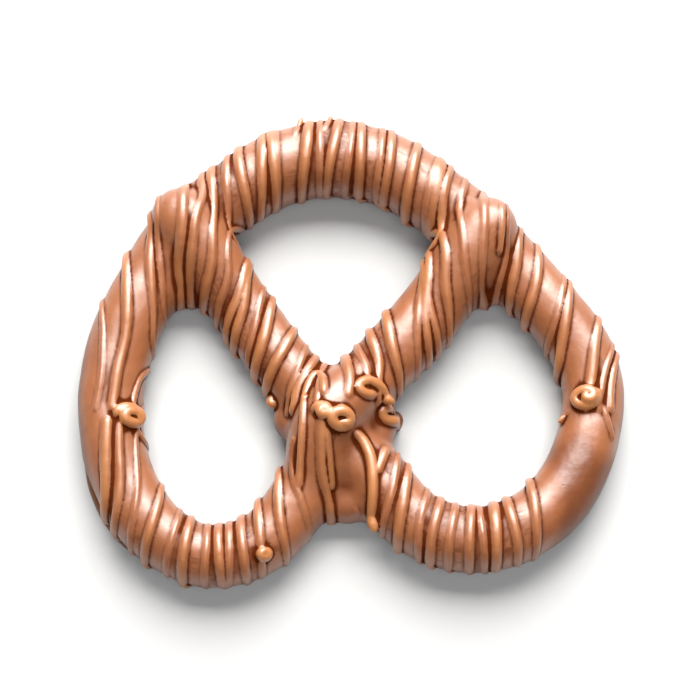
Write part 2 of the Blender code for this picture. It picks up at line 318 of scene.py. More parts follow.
class CoatSettings(bpy.types.PropertyGroup):
    """Sizes of the coated rope."""

    thickness: number_setting(
        "Thickness", "Thickness of the coated rope against its modelled size", 1.0, 0.9, 1.1
    )
    flat_under: length_setting(
        "Flat underside", "How far the underside of the rope is pressed flat", 0.4 * MM
    )
    crossing_lift: length_setting(
        "Crossing lift", "How far the upper strand climbs over the lower one", 3.1 * MM
    )
    end_lift: length_setting(
        "End lift", "How far the rope's ends lie above the arch's shoulders", 2.7 * MM
    )
    fullness: number_setting(
        "Lower fullness", "Fullness of the section's lower half, 0.4 being fullest", 0.72, 0.4, 1.0
    )
    corner_fill: length_setting(
        "Corner fill", "Radius to which chocolate fills the corners between strands", 1.2 * MM
    )
    lump_height: length_setting("Lump height", "Height of the soft lumps in the coat", 0.26 * MM)
    lump_size: length_setting("Lump size", "Distance between the soft lumps in the coat", 6.0 * MM)
    foot_width: length_setting(
        "Foot width", "How far the chocolate spread where it set on its tray", 0.75 * MM
    )
    foot_height: length_setting(
        "Foot height", "Height up to which the chocolate spread where it set on its tray", 1.1 * MM
    )


class DrizzleSettings(bpy.types.PropertyGroup):
    """Sizes of the drizzled strings."""

    string_radius: length_setting("String radius", "Radius of a drizzled string", 0.465 * MM)
    sunk: number_setting(
        "Sunk", "Depth of a string's middle in the coat, against its radius", 0.3, 0.0, 0.8
    )
    slide: length_setting(
        "Slide", "How far a string slid downhill on the steepest part of the coat", 1.7 * MM
    )
    pitch: length_setting("Pitch", "Usual distance between two strings", 1.86 * MM)
    pitch_spread: number_setting(
        "Pitch spread", "How uneven the distance between strings is", 0.36, 0.0, 0.9
    )
    sway: length_setting("Sway", "How far a string wanders from a straight line", 0.35 * MM)
    side_flow: number_setting(
        "Side flow", "How far a string flowed out to its left, against its radius", 0.6, 0.0, 2.0
    )
    beading: number_setting(
        "Beading", "How uneven the thickness of one string is along its length", 0.22, 0.0, 0.6
    )
    shuffle: IntProperty(
        name="Shuffle", description="Lays the strings of every sweep anew", default=0
    )


class ChocolateSettings(bpy.types.PropertyGroup):
    """Colours and gloss of the chocolate."""

    coat_colour: colour_setting("Coat", "Colour of the coat", (0.205, 0.068, 0.023))
    # The strings' colour is partly their own warmer tone and partly a painted highlight on their
    # raised tops
    string_tone_and_highlight_colour: colour_setting("Strings", "Colour of the strings", (0.290, 0.110, 0.033))
    # Painted shade down between the strings and near the foot; it also darkens bare coat far from
    # the strings
    shade_colour: colour_setting(
        "Creases", "Colour down between the strings", (0.055, 0.010, 0.002)
    )
    roughness: number_setting("Roughness", "Usual roughness of the set chocolate", 0.43, 0.0, 1.0)
    grain: number_setting("Grain", "Strength of the fine grain in the surface", 0.2, 0.0, 1.0)


class StageSettings(bpy.types.PropertyGroup):
    """Floor, light and camera."""

    elevation: FloatProperty(
        name="Elevation",
        description="Angle of the camera above the floor",
        default=math.radians(74),
        subtype="ANGLE",
    )
    distance: length_setting("Distance", "Distance from the camera to the pretzel", 0.245)
    lens: number_setting("Lens", "Focal length of the camera in millimetres", 115.0)
    floor_colour: colour_setting("Floor", "Colour of the floor", (0.33, 0.33, 0.328))
    key_power: number_setting(
        "Key light", "Power of the large soft light behind the pretzel, in watts", 10.2
    )
    fill_power: number_setting(
        "Fill light", "Power of the soft light from the camera's side, in watts", 2.1
    )
    world_strength: number_setting("Surroundings", "Brightness of the white surroundings", 0.27)


def feed_node(tree, node, feeds):
    """Links each socket to what feeds it, or sets it to a value."""
    for socket, feed in feeds.items():
        if isinstance(feed, bpy.types.NodeSocket):
            tree.links.new(feed, node.inputs[socket])
        else:
            node.inputs[socket].default_value = feed


def place_node(tree, kind, feeds=None, **settings):
    """Adds a node, with what it is set to and what feeds its sockets."""
    made = tree.nodes.new(kind)
    for key, value in settings.items():
        setattr(made, key, value)
    feed_node(tree, made, feeds or {})
    return made


def add_sockets(tree, way, sockets):
    """Adds named sockets of each kind to a node tree, as its inputs or outputs."""
    for kind, labels in sockets.items():
        for label in labels:
            tree.interface.new_socket(label, in_out=way, socket_type=f"NodeSocket{kind}")


def start_tree(name, **sockets):
    """A Geometry Nodes tree and its named inputs, the last of which is its material."""
    tree = bpy.data.node_groups.new(name, "GeometryNodeTree")
    tree.is_modifier = True
    shape = {"Geometry": ["Geometry"]}
    add_sockets(tree, "INPUT", {**shape, **sockets, "Material": ["Material"]})
    add_sockets(tree, "OUTPUT", shape)
    return tree, tree.nodes.new("NodeGroupInput").outputs


def end_tree(tree, geometry):
    """The tree, after it realized what it made and gave it its material."""
    material = tree.nodes.new("NodeGroupInput").outputs["Material"]
    solid = place_node(tree, "GeometryNodeRealizeInstances", {"Geometry": geometry})
    painted = place_node(
        tree, "GeometryNodeSetMaterial", {"Geometry": solid.outputs[0], "Material": material}
    )
    place_node(tree, "NodeGroupOutput", {"Geometry": painted.outputs[0]})
    return tree


def run_tree(item, tree, material, values=None):
    """Puts a tree on an object with its material and values for its other inputs."""
    nodes = item.modifiers.new(tree.name, "NODES")
    nodes.node_group = tree
    values = {"Material": material, **(values or {})}
    for socket in tree.interface.items_tree:
        if socket.in_out == "INPUT" and socket.name in values:
            nodes[socket.identifier] = values[socket.name]


def math_node(tree, operation, *feeds):
    """One step of arithmetic."""
    sockets = dict(enumerate(feeds))
    return place_node(tree, "ShaderNodeMath", sockets, operation=operation).outputs[0]


def rest_of(tree, share):
    """What a share leaves of 1."""
    return math_node(tree, "SUBTRACT", 1.0, share)


def vector_node(tree, operation, feeds):
    """One step of arithmetic on vectors."""
    return place_node(tree, "ShaderNodeVectorMath", feeds, operation=operation).outputs


def noise_node(tree, feeds):
    """Soft noise between 0 and 1, with a seed where W is fed."""
    dimensions = "4D" if "W" in feeds else "3D"
    return place_node(tree, "ShaderNodeTexNoise", feeds, noise_dimensions=dimensions).outputs[0]


def range_node(tree, value, edges, amounts=(0.0, 1.0)):
    """A soft step from one amount to the other, as a value passes from edge to edge."""
    sockets = ("Value", "From Min", "From Max", "To Min", "To Max")
    feeds = dict(zip(sockets, (value, *edges, *amounts)))
    return place_node(
        tree, "ShaderNodeMapRange", feeds, interpolation_type="SMOOTHSTEP"
    ).outputs[0]


def mix_node(tree, share, first, second):
    """The first colour with a share of the second."""
    feeds = {"Factor": share, "A": first, "B": second}
    return place_node(tree, "ShaderNodeMix", feeds, data_type="RGBA").outputs["Result"]


def set_position(tree, geometry, **feeds):
    """Moves the points of a geometry."""
    feeds = {"Geometry": geometry, **feeds}
    return place_node(tree, "GeometryNodeSetPosition", feeds).outputs[0]


def keep_value(tree, geometry, name, value):
    """Keeps a value at each point under a name."""
    return place_node(
        tree,
        "GeometryNodeStoreNamedAttribute",
        {"Geometry": geometry, "Name": name, "Value": value},
        data_type="FLOAT",
        domain="POINT",
    ).outputs[0]


def sweep_tree():
    """Sweeps a section along every line of a mesh, to the radius kept at its points."""
    sizes = ["Lower fullness", "Side flow", "Beading", "Beading length", "Seed"]
    tree, given = start_tree("sweep along lines", Int=["Sides"], Float=sizes)
    lines = place_node(tree, "GeometryNodeMeshToCurve", {"Mesh": given["Geometry"]})
    upright = place_node(
        tree, "GeometryNodeSetCurveNormal", {"Curve": lines.outputs[0]}, mode="Z_UP"
    )
    circle = place_node(
        tree, "GeometryNodeCurvePrimitiveCircle", {"Resolution": given["Sides"], "Radius": 1.0}
    )
    corner = place_node(tree, "GeometryNodeInputPosition").outputs[0]
    across, down, _ = place_node(tree, "ShaderNodeSeparateXYZ", {0: corner}).outputs
    size = math_node(tree, "ABSOLUTE", across)
    fuller = math_node(tree, "POWER", size, given["Lower fullness"])
    signed = math_node(tree, "MULTIPLY", fuller, math_node(tree, "SIGN", across))
    place = place_node(tree, "ShaderNodeCombineXYZ", {"X": signed, "Y": down})
    is_lower = place_node(
        tree, "FunctionNodeCompare", {"A": down, "B": 0.0}, operation="GREATER_THAN"
    )
    section = set_position(
        tree, circle.outputs[0], Selection=is_lower.outputs[0], Position=place.outputs[0]
    )
    left = math_node(tree, "MAXIMUM", math_node(tree, "MULTIPLY", across, -1.0), 0.0)
    flow = math_node(tree, "MULTIPLY", left, given["Side flow"])
    droop = math_node(tree, "MULTIPLY", math_node(tree, "MULTIPLY", flow, left), FLOW_DROOP)
    outer = math_node(tree, "SUBTRACT", across, flow)
    lower = math_node(tree, "ADD", down, droop)
    flowed = place_node(tree, "ShaderNodeCombineXYZ", {"X": outer, "Y": lower})
    section = set_position(tree, section, Position=flowed.outputs[0])
    bead_scale = math_node(tree, "DIVIDE", 1.0, given["Beading length"])
    beads = noise_node(tree, {"W": given["Seed"], "Scale": bead_scale, "Detail": 1.0})
    centred = math_node(tree, "SUBTRACT", beads, 0.5)
    uneven = math_node(tree, "MULTIPLY_ADD", centred, given["Beading"], 1.0)
    radius = place_node(
        tree, "GeometryNodeInputNamedAttribute", {"Name": "radius"}, data_type="FLOAT"
    )
    scale = math_node(tree, "MULTIPLY", radius.outputs[0], uneven)
    feeds = {"Curve": upright.outputs[0], "Profile Curve": section, "Scale": scale}
    feeds["Fill Caps"] = True
    return end_tree(tree, place_node(tree, "GeometryNodeCurveToMesh", feeds).outputs[0])


def uneven_tree():
    """Soft lumps all over, and a spread foot where the chocolate set on its tray."""
    sizes = ["Lump height", "Lump size", "Foot width", "Foot height", "Seed"]
    tree, given = start_tree("uneven coat", Float=sizes)
    normal = place_node(tree, "GeometryNodeInputNormal").outputs[0]
    place = place_node(tree, "GeometryNodeInputPosition").outputs[0]
    lump_scale = math_node(tree, "DIVIDE", 1.0, given["Lump size"])
    lumps = noise_node(
        tree, {"W": given["Seed"], "Scale": lump_scale, "Detail": 2.0, "Roughness": 0.4}
    )
    lump = math_node(tree, "MULTIPLY", math_node(tree, "SUBTRACT", lumps, 0.5), 2.0)
    height = math_node(tree, "MULTIPLY", lump, given["Lump height"])
    rise = vector_node(tree, "SCALE", {0: normal, "Scale": height})["Vector"]
    flat = vector_node(tree, "MULTIPLY", {0: normal, 1: (1.0, 1.0, 0.0)})["Vector"]
    outward = vector_node(tree, "NORMALIZE", {0: flat})["Vector"]
    level = place_node(tree, "ShaderNodeSeparateXYZ", {0: place}).outputs["Z"]
    share = math_node(tree, "DIVIDE", level, given["Foot height"])
    near = place_node(tree, "ShaderNodeClamp", {0: rest_of(tree, share)})
    curved = math_node(tree, "POWER", near.outputs[0], FOOT_CURVE)
    wave_scale = math_node(tree, "MULTIPLY", lump_scale, FOOT_WAVES)
    spread = noise_node(tree, {"W": given["Seed"], "Scale": wave_scale})
    reach = math_node(tree, "MULTIPLY", spread, given["Foot width"])
    foot = math_node(tree, "MULTIPLY", curved, reach)
    step = vector_node(tree, "SCALE", {0: outward, "Scale": foot})["Vector"]
    offset = vector_node(tree, "ADD", {0: rise, 1: step})["Vector"]
    return end_tree(tree, set_position(tree, given["Geometry"], Offset=offset))


def rest_tree():
    """Presses flat whatever reaches below the surface that the pretzel lies on."""
    tree, given = start_tree("lie flat")
    place = place_node(tree, "GeometryNodeInputPosition").outputs[0]
    x, y, z = place_node(tree, "ShaderNodeSeparateXYZ", {0: place}).outputs
    level = math_node(tree, "MAXIMUM", z, 0.0)
    flat = place_node(tree, "ShaderNodeCombineXYZ", {"X": x, "Y": y, "Z": level}).outputs[0]
    return end_tree(tree, set_position(tree, given["Geometry"], Position=flat))


def marks_tree():
    """Keeps at each point how far off the bare coat and the strings are, and how hollow it is."""
    others = ["Bare coat", "Strings"]
    tree, given = start_tree("mark strings", Object=others, Int=["Crease passes"])
    place = place_node(tree, "GeometryNodeInputPosition").outputs[0]
    marked = given["Geometry"]
    for name, label in zip(("ridge", "beside"), others):
        other = place_node(tree, "GeometryNodeObjectInfo", {"Object": given[label]})
        near = place_node(
            tree,
            "GeometryNodeProximity",
            {"Geometry": other.outputs["Geometry"], "Sample Position": place},
            target_element="FACES",
        )
        marked = keep_value(tree, marked, name, near.outputs["Distance"])
    around = place_node(
        tree,
        "GeometryNodeBlurAttribute",
        {"Value": place, "Iterations": given["Crease passes"]},
        data_type="FLOAT_VECTOR",
    )
    sunk = vector_node(tree, "SUBTRACT", {0: around.outputs[0], 1: place})["Vector"]
    normal = place_node(tree, "GeometryNodeInputNormal").outputs[0]
    depth = vector_node(tree, "DOT_PRODUCT", {0: sunk, 1: normal})["Value"]
    soft = place_node(
        tree,
        "GeometryNodeBlurAttribute",
        {"Value": depth, "Iterations": HOLLOW_PASSES},
        data_type="FLOAT",
    )
    hollow = keep_value(tree, marked, "hollow", soft.outputs[0])
    return end_tree(tree, hollow)


def scraps_tree():
    """Merges points that lie together and drops every loose scrap."""
    tree, given = start_tree("drop scraps", Float=["Merge distance"], Int=["Fewest points"])
    merged = place_node(
        tree,
        "GeometryNodeMergeByDistance",
        {"Geometry": given["Geometry"], "Distance": given["Merge distance"]},
    )
    island = place_node(tree, "GeometryNodeInputMeshIsland").outputs["Island Index"]
    size = place_node(
        tree,
        "GeometryNodeAccumulateField",
        {"Value": 1, "Group ID": island},
        data_type="INT",
        domain="POINT",
    )
    small = math_node(tree, "LESS_THAN", size.outputs["Total"], given["Fewest points"])
    kept = place_node(
        tree,
        "GeometryNodeDeleteGeometry",
        {"Geometry": merged.outputs[0], "Selection": small},
        domain="POINT",
    )
    return end_tree(tree, kept.outputs[0])


def ellipse_arc(centre, radii, turn):
    """Points along an ellipse, between two angles in degrees."""
    angles = np.radians(np.linspace(*turn, ARC_POINTS))
    return np.array(centre) + np.array(radii) * np.stack([np.cos(angles), np.sin(angles)], 1)


def rope_plan():
    """Points that the rope passes, from its left end to its right end."""
    left_turn = (180 - LOBE_TURN[1], 180 - LOBE_TURN[0])
    return np.vstack(
        [
            [LEFT_END, LEFT_STRAND_MIDDLE, CROSSING],
            ellipse_arc(RIGHT_LOBE_CENTRE, RIGHT_LOBE_RADII, LOBE_TURN),
            [RIGHT_SHOULDER],
            ellipse_arc(ARCH_CENTRE, ARCH_RADII, ARCH_TURN),
            [LEFT_SHOULDER],
            ellipse_arc(LEFT_LOBE_CENTRE, LEFT_LOBE_RADII, left_turn),
            [CROSSING, RIGHT_STRAND_MIDDLE, RIGHT_END],
        ]
    )


def smooth_curve(points, step=STATION_STEP):
    """A Catmull-Rom curve through the points in even steps, and how far along each step is."""
    padded = np.vstack([2 * points[0] - points[1], points, 2 * points[-1] - points[-2]])
    fine = []
    for a, b, c, d in zip(padded, padded[1:], padded[2:], padded[3:]):
        for t in np.linspace(0, 1, CURVE_STEPS, endpoint=False):
            even = 2 * b + (2 * a - 5 * b + 4 * c - d) * t**2
            odd = (c - a) * t + (3 * b - a - 3 * c + d) * t**3
            fine.append((even + odd) / 2)
    fine = np.array(fine + [points[-1]])
    run = np.concatenate([[0], np.cumsum(np.linalg.norm(np.diff(fine, axis=0), axis=1))])
    marks = np.linspace(0, run[-1], round(run[-1] / step) + 1)
    return np.stack([np.interp(marks, run, axis) for axis in fine.T], 1), marks


def bump(distance, reach):
    """1 at no distance, falling smoothly to 0 at reach."""
    t = np.clip(1 - np.abs(distance) / reach, 0, 1)
    return t * t * (3 - 2 * t)


def rope_stations(coat):
    """The rope's centreline: x, y, height and radius of the coat at every step."""
    plan, run = smooth_curve(rope_plan())
    length = run[-1]
    near_crossing = bump(np.linalg.norm(plan - np.array(CROSSING), axis=1), CROSSING_REACH)
    second_pass = run > length / 2
    near_end = np.maximum(bump(run, END_REACH), bump(run - length, END_REACH))
    shares, radii = zip(*RADIUS_ALONG)
    radius = np.interp(run / length, shares, radii) * coat.thickness
    lift = coat.crossing_lift * near_crossing * second_pass + coat.end_lift * near_end
    height = radius + (lift - coat.flat_under) / MM
    return np.column_stack([plan, height, radius])


def web_stations(web):
    """A short stretch of chocolate that fills the corner between two strands."""
    plan, _ = smooth_curve(np.array(web))
    count = len(plan)
    return np.column_stack([plan, np.full(count, WEB_HEIGHT), np.full(count, WEB_RADIUS)])


def with_round_ends(stations, fill):
    """The stations made thicker by the corner fill, with more that round off both ends."""
    stations = stations + np.array([0, 0, 0, fill])
    caps = []
    for end, before, order in ((0, 1, -1), (-1, -2, 1)):
        heading = stations[end, :2] - stations[before, :2]
        heading /= np.linalg.norm(heading)
        radius = stations[end, 3]
        angles = np.radians(CAP_ANGLES)[::order]
        cap = np.tile(stations[end], (len(angles), 1))
        cap[:, :2] += np.outer(np.sin(angles) * radius, heading)
        cap[:, 3] = np.cos(angles) * radius
        caps.append(cap)
    return np.vstack([caps[0], stations, caps[1]])


def lines_object(name, paths):
    """Paths of x, y, z and radius, in millimetres, as lines of a mesh."""
    mesh = bpy.data.meshes.new(name)
    points, edges, radii = [], [], []
    for path in paths:
        first = len(points)
        for x, y, z, radius in path:
            points.append((x * MM, y * MM, z * MM))
            radii.append(radius * MM)
        edges.extend((k, k + 1) for k in range(first, len(points) - 1))
    mesh.from_pydata(points, edges, [])
    kept = mesh.attributes.new("radius", "FLOAT", "POINT")
    kept.data.foreach_set("value", radii)
    return linked(name, mesh)


def linked(name, data):
    """An object of the scene, at the origin."""
    item = bpy.data.objects.new(name, data)
    bpy.context.scene.collection.objects.link(item)
    return item


def apply_modifiers(item):
    """Turns what the modifiers make into the object's own plain mesh."""
    graph = bpy.context.evaluated_depsgraph_get()
    mesh = bpy.data.meshes.new_from_object(item.evaluated_get(graph))
    item.modifiers.clear()
    item.data = mesh


def melt(item, voxel):
    """Melts everything that overlaps into one skin."""
    skin = item.modifiers.new("melt", "REMESH")
    skin.mode = "VOXEL"
    skin.voxel_size = voxel * MM


def soften(item, passes):
    """Evens out the steps that melting leaves."""
    settle = item.modifiers.new("soften", "SMOOTH")
    settle.factor = SOFTEN_SHARE
    settle.iterations = passes


def sweep(item, material, sides, fullness=1.0, side_flow=0.0, beading=0.0):
    """Sweeps an object's lines to tubes."""
    values = {
        "Sides": sides,
        "Lower fullness": fullness,
        "Side flow": side_flow,
        "Beading": beading,
        "Beading length": BEADING_LENGTH,
        "Seed": BEADING_SEED,
    }
    run_tree(item, bpy.data.node_groups["sweep along lines"], material, values)


def lie_flat(item, material):
    """Presses an object flat on the surface that the pretzel lies on."""
    run_tree(item, bpy.data.node_groups["lie flat"], material)


def make_coat(coat, material):
    """The coated rope: swept too thick, melted, then shrunk, which leaves its corners full."""
    fill = coat.corner_fill / MM
    paths = [with_round_ends(rope_stations(coat), fill)]
    paths += [with_round_ends(web_stations(web), fill) for web in WEBS]
    item = lines_object("bare_coat", paths)
    sweep(item, material, SECTION_SIDES, coat.fullness)
    melt(item, COAT_VOXEL)
    shrink = item.modifiers.new("shrink", "DISPLACE")
    shrink.direction = "NORMAL"
    shrink.mid_level = 0.0
    shrink.strength = -coat.corner_fill
    melt(item, COAT_VOXEL)
    soften(item, COAT_PASSES)
    lie_flat(item, material)
    values = {
        "Lump height": coat.lump_height,
        "Lump size": coat.lump_size,
        "Foot width": coat.foot_width,
        "Foot height": coat.foot_height,
        "Seed": LUMP_SEED,
    }
    run_tree(item, uneven_tree(), material, values)
    lie_flat(item, material)
    apply_modifiers(item)
    return item


class Surface:
    """The coated rope as something to lay strings on, in millimetres."""

    def __init__(self, item):
        points = [vertex.co / MM for vertex in item.data.vertices]
        self.tree = BVHTree.FromPolygons(points, [list(p.vertices) for p in item.data.polygons])

    def top(self, x, y):
        """(point, normal) of the top at a place in plan, or None over a hole."""
        above = Vector((x, y, SEARCH_HEIGHT))
        place, normal, _, _ = self.tree.ray_cast(above, DOWN)
        return None if place is None else (place, normal)

    def landing(self, x, y):
        """(point, normal) where a string lies on top, or None over a hole or a steep side."""
        found = self.top(x, y)
        return found if found and found[1].z > STEEPEST_TOP else None

    def onto(self, point):
        """(point, normal) of the surface nearest to a point."""
        place, normal, _, _ = self.tree.find_nearest(point)
        return place, normal


def is_bare(x, y):
    """Whether a place in plan lies in one of the bare patches."""
    return any(math.hypot((x - px) / rx, (y - py) / ry) < 1 for px, py, rx, ry in BARE_PATCHES)


def away_from_shoulders(x, y):
    """0 on the shoulders, where strings lie straight, rising to 1 on the single strands."""
    nearest = min(math.dist((x, y), LEFT_SHOULDER), math.dist((x, y), RIGHT_SHOULDER))
    return 1 - bump(nearest, SHOULDER_REACH)


def string_columns(drizzle, first_x, last_x, lean, draw):
    """Each string of one sweep: its x at the band, lean, start of its sway and radius."""
    columns = []
    x = first_x
    thin = False
    while x < last_x:
        spread = draw.uniform(-THICKNESS_SPREAD, THICKNESS_SPREAD)
        thickness = drizzle.string_radius / MM * (1 + spread) * (THIN_STRING if thin else 1)
        tilt = lean + draw.uniform(-LEAN_SPREAD, LEAN_SPREAD)
        columns.append((x, tilt, draw.uniform(0, 2 * math.pi), thickness))
        thin = not thin and draw.random() < THIN_SHARE
        uneven = draw.uniform(-drizzle.pitch_spread, drizzle.pitch_spread)
        x += drizzle.pitch / MM * (1 + uneven)
    return columns


def evened_slides(surface, drizzle, xs, ys):
    """How far downhill a string slid at each of its places, evened out along it."""
    slides, lands = np.zeros(len(xs)), np.zeros(len(xs))
    for i, (x, y) in enumerate(zip(xs, ys)):
        found = surface.landing(x, y)
        if found:
            aslant = abs(found[1].y) / max(found[1].xy.length, FLATTEST_SLOPE)
            share = min(1.0, SLANT_SHARE * aslant) * away_from_shoulders(x, y)
            slides[i] = drizzle.slide / MM * found[1].x * share
            lands[i] = 1
    window = np.ones(EVEN_STEPS)
    return np.convolve(slides, window, "same") / np.maximum(np.convolve(lands, window, "same"), 1)


def string_runs(surface, drizzle, column, low_y, high_y):
    """The stretches of a string that land on the pretzel, as points and normals."""
    start, lean, phase, _ = column
    ys = np.arange(low_y, high_y, TRACE_STEP)
    xs = start + lean * (ys - BAND_Y)
    xs += drizzle.sway / MM * np.sin(2 * math.pi * ys / SWAY_LENGTH + phase)
    xs += evened_slides(surface, drizzle, xs, ys)
    runs, run = [], []
    for x, y in zip(xs, ys):
        found = None if is_bare(x, y) else surface.landing(x, y)
        if found:
            run.append(found)
        elif run:
            runs.append(run)
            run = []
    if run:
        runs.append(run)
    return [r for r in runs if (r[-1][0] - r[0][0]).length > SHORTEST_STRING]


def string_tail(surface, rim, heading, lowest):
    """Where a string runs off the top it hangs on down the side, ever more steeply."""
    point, normal = rim
    if normal.z > FLATTEST_RIM:
        return []
    tail = []
    for _ in range(LONGEST_TAIL):
        fall = (DOWN - normal * DOWN.dot(normal)).normalized()
        along = (heading - normal * heading.dot(normal)).normalized()
        heading = along.lerp(fall, HANG_SHARE).normalized()
        point, normal = surface.onto(point + heading * TAIL_STEP)
        if point.z < lowest or normal.z < LOWEST_OVERHANG or is_bare(point.x, point.y):
            break
        tail.append((point, normal))
    return tail


def tapered(path):
    """The path with both ends rounded off."""
    steps = np.linalg.norm(np.diff(path[:, :3], axis=0), axis=1)
    run = np.concatenate([[0], np.cumsum(steps)])
    from_end = np.minimum(run, run[-1] - run)
    path[:, 3] *= np.sqrt(np.clip(from_end / (TAPER_LENGTH * path[:, 3]), THINNEST_END, 1))
    return path


def string_path(surface, run, sunk, thickness, draw):
    """A run with a tail at each end, lifted over grooves, as x, y, z and radius."""
    forwards = run[0][0] - run[HEADING_STEPS][0]
    backwards = run[-1][0] - run[-1 - HEADING_STEPS][0]
    front = string_tail(surface, run[0], forwards, draw.uniform(*TAIL_LEVELS))
    back = string_tail(surface, run[-1], backwards, draw.uniform(*TAIL_LEVELS))
    path = []
    for point, normal in front[::-1] + run + back:
        on_shoulder = 1 - away_from_shoulders(point.x, point.y)
        depth = thickness * (sunk + SHOULDER_SUNK * on_shoulder)
        path.append(list(point - normal * depth))
    path = np.array(path)
    for _ in range(BRIDGE_STEPS):
        between = (path[:-2] + path[2:]) / 2
        raised = np.maximum(path[1:-1, 2], between[:, 2])
        path[1:-1, :2] = (path[1:-1, :2] + between[:, :2]) / 2
        path[1:-1, 2] = raised
    return tapered(np.column_stack([path, np.full(len(path), thickness)]))


def curl_path(surface, curl, thickness):
    """A closing spiral that drifts along, climbs over its start and juts out past a rim."""
    x, y, radius, start, turns, closes = curl
    path = []
    level = surface.top(x, y)[0].z
    for share in np.linspace(0, 1, round(CURL_STEPS * turns)):
        angle = math.radians(start) - 2 * math.pi * turns * share
        reach = radius * (1 - closes * share)
        across = reach * math.cos(angle) + CURL_DRIFT * (share - 0.5)
        along = reach * math.sin(angle) * CURL_OVAL
        found = surface.landing(x + across, y + along)
        if found:
            level = found[0].z
        height = level + CURL_RISE * share * turns
        path.append([x + across, y + along, height, thickness * CURL_THICKNESS])
    return tapered(np.array(path))


def stray_path(surface, places, thickness):
    """A single string that follows the surface, and juts out where the surface ends."""
    path = []
    level = 0.0
    plan, run = smooth_curve(np.array(places), TRACE_STEP)
    for (x, y), gone in zip(plan, run):
        found = surface.landing(x, y)
        if found:
            root = STRAY_ROOT * max(0.0, 1 - gone / STRAY_ROOT_LENGTH)
            level = found[0].z - STRAY_SINK - root
        path.append([x, y, level, thickness])
    return tapered(np.array(path))


def ledge_paths():
    """Low lines of chocolate side by side along the outside of the left lobe."""
    centre = np.array(LEFT_LOBE_CENTRE)
    plan, run = smooth_curve(ellipse_arc(centre, LEFT_LOBE_RADII, LEDGE_TURN))
    outward = (plan - centre) / np.linalg.norm(plan - centre, axis=1)[:, None]
    fade = np.sqrt(np.sin(math.pi * run / run[-1]) + THINNEST_END)
    fade = np.minimum(1, fade)[:, None]
    level = np.full((len(plan), 1), LEDGE_LEVEL)
    return [
        np.hstack([plan + outward * reach * fade, level, fade * radius])
        for reach, radius in LEDGE_LINES
    ]


def string_paths(surface, drizzle):
    """Every string of every sweep."""
    tails = random.Random(TAIL_SEED)
    paths = []
    for first_x, last_x, low_y, high_y, lean, seed in SWEEPS:
        draw = random.Random(seed + drizzle.shuffle)
        for column in string_columns(drizzle, first_x, last_x, lean, draw):
            for run in string_runs(surface, drizzle, column, low_y, high_y):
                paths.append(string_path(surface, run, drizzle.sunk, column[-1], tails))
    return paths


def drop_paths(surface, drizzle):
    """The curls, the strays and the ledge."""
    thickness = drizzle.string_radius / MM
    paths = [curl_path(surface, curl, thickness) for curl in CURLS]
    paths += [stray_path(surface, places, thickness * share) for share, places in STRAYS]
    return paths + ledge_paths()


def swept(name, paths, drizzle, side_flow, material):
    """Paths swept to strings of chocolate."""
    item = lines_object(name, paths)
    sweep(item, material, STRING_SIDES, side_flow=side_flow, beading=drizzle.beading)
    apply_modifiers(item)
    return item


def join_tree():
    """Lays the swept strings on the coat."""
    tree, given = start_tree("lay strings", Object=["Strings"])
    strings = place_node(tree, "GeometryNodeObjectInfo", {"Object": given["Strings"]})
    both = place_node(tree, "GeometryNodeJoinGeometry")
    tree.links.new(given["Geometry"], both.inputs[0])
    tree.links.new(strings.outputs["Geometry"], both.inputs[0])
    return end_tree(tree, both.outputs[0])


def make_pretzel(coat, drizzle, material):
    """The coat and its strings as one piece of set chocolate."""
    sweep_tree()
    rest_tree()
    bare = make_coat(coat, material)
    surface = Surface(bare)
    laid, dropped = string_paths(surface, drizzle), drop_paths(surface, drizzle)
    strings = swept("strings", laid, drizzle, drizzle.side_flow, material)
    drops = swept("drops", dropped, drizzle, 0.0, material)
    joined = join_tree()
    run_tree(strings, joined, material, {"Strings": drops})
    apply_modifiers(strings)
    piece = linked("coated_pretzel", bare.data.copy())
    run_tree(piece, joined, material, {"Strings": strings})
    melt(piece, FINE_VOXEL)
    soften(piece, FINE_PASSES)
    lie_flat(piece, material)
    marks = {"Bare coat": bare, "Strings": strings, "Crease passes": CREASE_PASSES}
    run_tree(piece, marks_tree(), material, marks)
    apply_modifiers(piece)
    piece.data.calc_loop_triangles()
    fewer = piece.modifiers.new("fewer", "DECIMATE")
    fewer.ratio = min(1.0, FINE_TRIANGLES / len(piece.data.loop_triangles))
    limits = {"Merge distance": MERGE_DISTANCE, "Fewest points": FEWEST_POINTS}
    run_tree(piece, scraps_tree(), material, limits)
    apply_modifiers(piece)
    for helper in (bare, strings, drops):
        bpy.data.objects.remove(helper, do_unlink=True)
    x, y = np.array(PLAN_MIDDLE) * MM
    for vertex in piece.data.vertices:
        vertex.co.x -= x
        vertex.co.y -= y
    piece.data.shade_smooth()
    return piece


def shader_group(name, inputs, outputs):
    """A shader node group with named sockets, and its inputs."""
    group = bpy.data.node_groups.new(name, "ShaderNodeTree")
    add_sockets(group, "INPUT", inputs)
    add_sockets(group, "OUTPUT", outputs)
    return group, group.nodes.new("NodeGroupInput").outputs


def finish_group(group, feeds):
    """The group, with what it puts out."""
    feed_node(group, group.nodes.new("NodeGroupOutput"), feeds)
    return group


def cloud_group():
    """Soft clouds of a second colour, as where chocolate cooled unevenly."""
    inputs = {"Color": ["Colour", "Second colour"], "Float": ["Size", "Amount"]}
    group, given = shader_group("clouding", inputs, {"Color": ["Colour"]})
    place = place_node(group, "ShaderNodeTexCoord").outputs["Object"]
    scale = math_node(group, "DIVIDE", 1.0, given["Size"])
    noise = noise_node(
        group, {"Vector": place, "Scale": scale, "Detail": 3.0, "Roughness": 0.55}
    )
    share = math_node(group, "MULTIPLY", range_node(group, noise, CLOUD_EDGES), given["Amount"])
    clouded = mix_node(group, share, given["Colour"], given["Second colour"])
    return finish_group(group, {"Colour": clouded})


